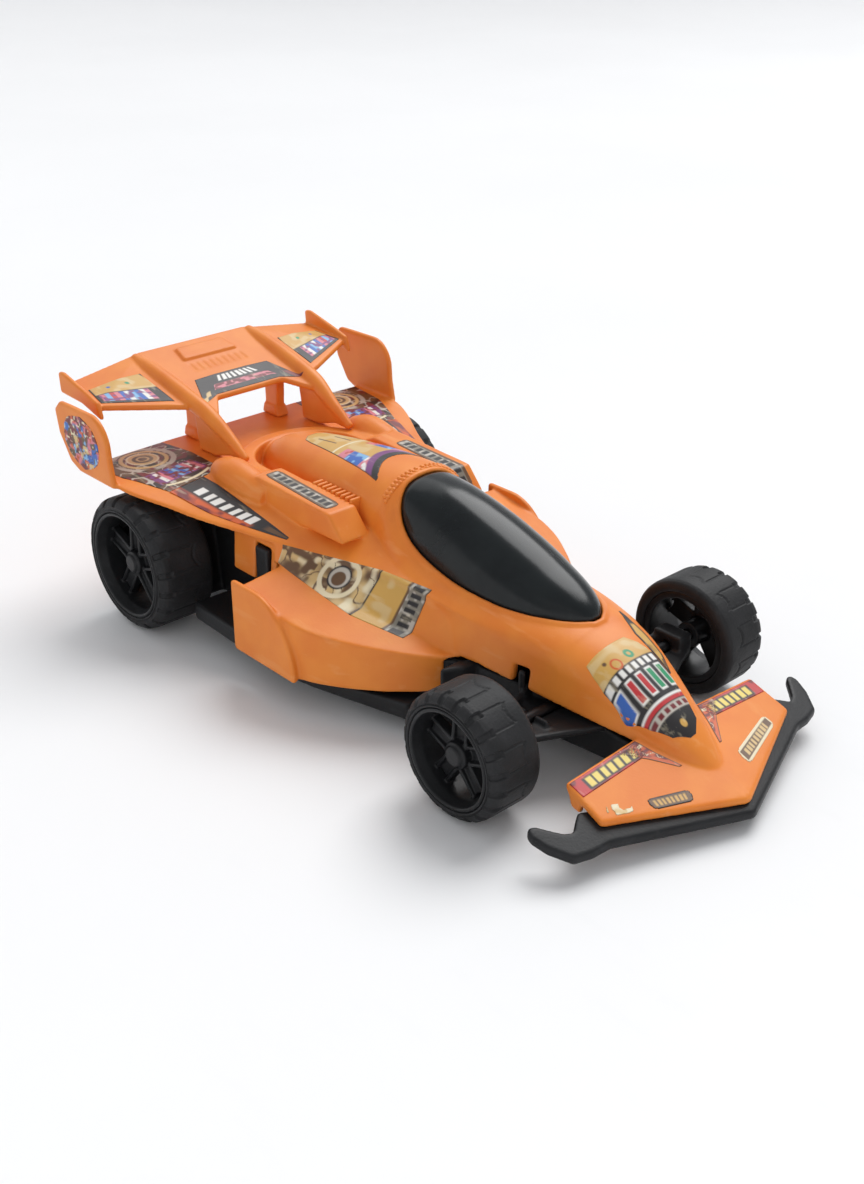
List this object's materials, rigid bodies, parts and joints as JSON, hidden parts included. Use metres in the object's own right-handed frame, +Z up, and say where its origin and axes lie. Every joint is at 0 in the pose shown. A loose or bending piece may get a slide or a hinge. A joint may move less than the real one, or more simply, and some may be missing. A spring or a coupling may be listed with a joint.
{
  "type": "pull back car",
  "caption": "Toy racing car with an orange body, black canopy, front and rear wings, and a pull back clockwork motor on the rear axle.",
  "frame": {"origin": "centre of the footprint's box, on the ground that the wheels stand on", "axes": "+Z up; the nose points along -Y; +X is the car's left side"},
  "size_m": [0.109, 0.2246, 0.0676],
  "materials": {
    "orange_plastic": "moulded orange plastic with a soft sheen",
    "canopy_gloss": "polished black",
    "black_plastic": "fine moulded grain",
    "rim_plastic": "satin black",
    "tyre": "soft black with a moulded tread",
    "nylon": "natural nylon",
    "spring_steel": "blued strip",
    "axle_steel": "drawn wire",
    "screw_steel": "zinc plated",
    "brass": "turned"
  },
  "bodies": {
    "car": {"body_shell": "orange_plastic", "rear_wing": "orange_plastic", "canopy": "canopy_gloss", "front_bumper": "black_plastic", "chassis": "black_plastic", "motor_case_left": "nylon", "motor_case_right": "nylon", "mainspring": "spring_steel", "body_screws": "screw_steel", "motor_screws": "screw_steel"},
    "front_wheelset": {"front_axle": "axle_steel", "front_rim_left": "rim_plastic", "front_rim_right": "rim_plastic", "front_tyre_left": "tyre", "front_tyre_right": "tyre"},
    "rear_wheelset": {"rear_axle": "axle_steel", "rear_rim_left": "rim_plastic", "rear_rim_right": "rim_plastic", "rear_tyre_left": "tyre", "rear_tyre_right": "tyre", "axle_pinion": "brass"},
    "compound": {"compound_gear": "nylon", "compound_arbor": "axle_steel"},
    "spring_wheel": {"spring_gear": "nylon", "spring_arbor": "axle_steel"}
  },
  "joints": [
    {"name": "front_axle_spin", "type": "hinge", "parent": "car", "child": "front_wheelset", "pos_m": [0, -0.06, 0.0165], "axis": [1, 0, 0], "continuous": true},
    {"name": "rear_axle_spin", "type": "hinge", "parent": "car", "child": "rear_wheelset", "pos_m": [0, 0.072, 0.02], "axis": [1, 0, 0], "continuous": true},
    {"name": "compound_gear_spin", "type": "hinge", "parent": "car", "child": "compound", "pos_m": [0, 0.0618, 0.02509], "axis": [1, 0, 0], "continuous": true},
    {"name": "spring_gear_spin", "type": "hinge", "parent": "car", "child": "spring_wheel", "pos_m": [0, 0.04918, 0.02123], "axis": [1, 0, 0], "continuous": true}
  ],
  "couplings": [
    {"joint": "compound_gear_spin", "follows": "rear_axle_spin", "ratio": -0.35714},
    {"joint": "spring_gear_spin", "follows": "rear_axle_spin", "ratio": 0.10504}
  ]
}
